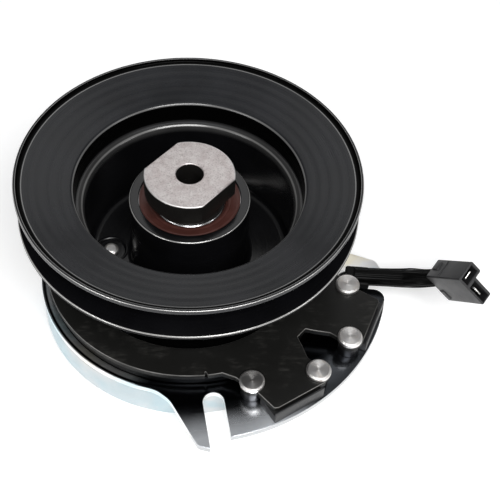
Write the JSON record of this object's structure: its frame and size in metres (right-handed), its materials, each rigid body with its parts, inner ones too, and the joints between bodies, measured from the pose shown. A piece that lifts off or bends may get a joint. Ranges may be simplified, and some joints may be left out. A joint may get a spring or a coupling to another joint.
{
  "type": "electromagnetic clutch",
  "caption": "Mower power take-off clutch and brake: field coil, rotor, sprung armature, brake plate and a belt pulley on its own bearing.",
  "frame": {"origin": "on the rotation axis, in the plane of the field's flat bottom, where the crankshaft enters", "axes": "+Z along the rotation axis towards the pulley and its end cap; +X to the side the lead leaves"},
  "size_m": [0.2128, 0.1753, 0.0874],
  "materials": {
    "pulley_black": "satin black coating",
    "brake_black": "black oxide",
    "zinc": "bright clear zinc plate",
    "rivet_steel": "turned rivet heads",
    "sintered_steel": "sintered, speckled",
    "bearing_steel": "ground",
    "seal_rubber": "brown-red moulded rubber",
    "cage_steel": "pressed sheet",
    "rotor_steel": "turned",
    "armature_steel": "ground",
    "spring_steel": "blued spring steel",
    "lining": "moulded friction material",
    "copper": "enamelled copper wire",
    "bobbin_plastic": "moulded nylon",
    "potting": "cast resin",
    "magnet": "ferrite",
    "black_plastic": "moulded",
    "sleeve_vinyl": "vinyl sleeve",
    "terminal_tin": "tinned brass"
  },
  "bodies": {
    "field": {"field_shell": "zinc", "mounting_plate": "zinc", "field_snap_ring": "spring_steel", "coil_bobbin": "bobbin_plastic", "coil_winding": "copper", "coil_potting": "potting", "coil_wires": "sleeve_vinyl", "field_bearing_outer_race": "bearing_steel", "field_bearing_seals": "seal_rubber", "brake_plate": "brake_black", "brake_rivets": "rivet_steel", "brake_spacers": "zinc", "magnet_housings": "brake_black", "brake_magnets": "magnet", "lead_grommet": "black_plastic", "lead_sleeve": "sleeve_vinyl", "connector_housing": "black_plastic", "connector_terminals": "terminal_tin"},
    "rotor": {"rotor_hub": "rotor_steel", "rotor_disc": "rotor_steel", "friction_lining": "lining", "field_bearing_inner_race": "bearing_steel", "pulley_bearing_inner_race": "bearing_steel", "end_cap": "sintered_steel"},
    "field_bearing_retainer": {"field_bearing_balls": "bearing_steel", "field_bearing_cage": "cage_steel"},
    "pulley": {"upper_flange": "pulley_black", "lower_flange": "pulley_black", "pulley_cup": "pulley_black", "web_rivets": "rivet_steel", "spring_sleeves": "rotor_steel", "leaf_springs": "spring_steel", "pulley_bearing_outer_race": "bearing_steel", "pulley_bearing_seals": "seal_rubber"},
    "pulley_bearing_retainer": {"pulley_bearing_balls": "bearing_steel", "pulley_bearing_cage": "cage_steel"},
    "armature": {"armature": "armature_steel", "armature_rivets": "rivet_steel"}
  },
  "joints": [
    {"name": "rotor_spin", "type": "hinge", "parent": "field", "child": "rotor", "pos_m": [0, 0, 0.008], "axis": [0, 0, 1], "continuous": true},
    {"name": "field_bearing_roll", "type": "hinge", "parent": "field", "child": "field_bearing_retainer", "pos_m": [0, 0, 0.008], "axis": [0, 0, 1], "continuous": true},
    {"name": "pulley_spin", "type": "hinge", "parent": "rotor", "child": "pulley", "pos_m": [0, 0, 0.06], "axis": [0, 0, 1], "continuous": true},
    {"name": "pulley_bearing_roll", "type": "hinge", "parent": "rotor", "child": "pulley_bearing_retainer", "pos_m": [0, 0, 0.06], "axis": [0, 0, 1], "continuous": true},
    {"name": "armature_slide", "type": "slide", "parent": "pulley", "child": "armature", "axis": [0, 0, 1], "range_m": [-0.00038, 0], "stiffness_N_per_m": 20000, "springref_m": 0.001, "deforming": ["leaf_springs"]}
  ],
  "couplings": [
    {"joint": "field_bearing_roll", "follows": "rotor_spin", "ratio": 0.4186},
    {"joint": "pulley_bearing_roll", "follows": "pulley_spin", "ratio": 0.5954}
  ]
}
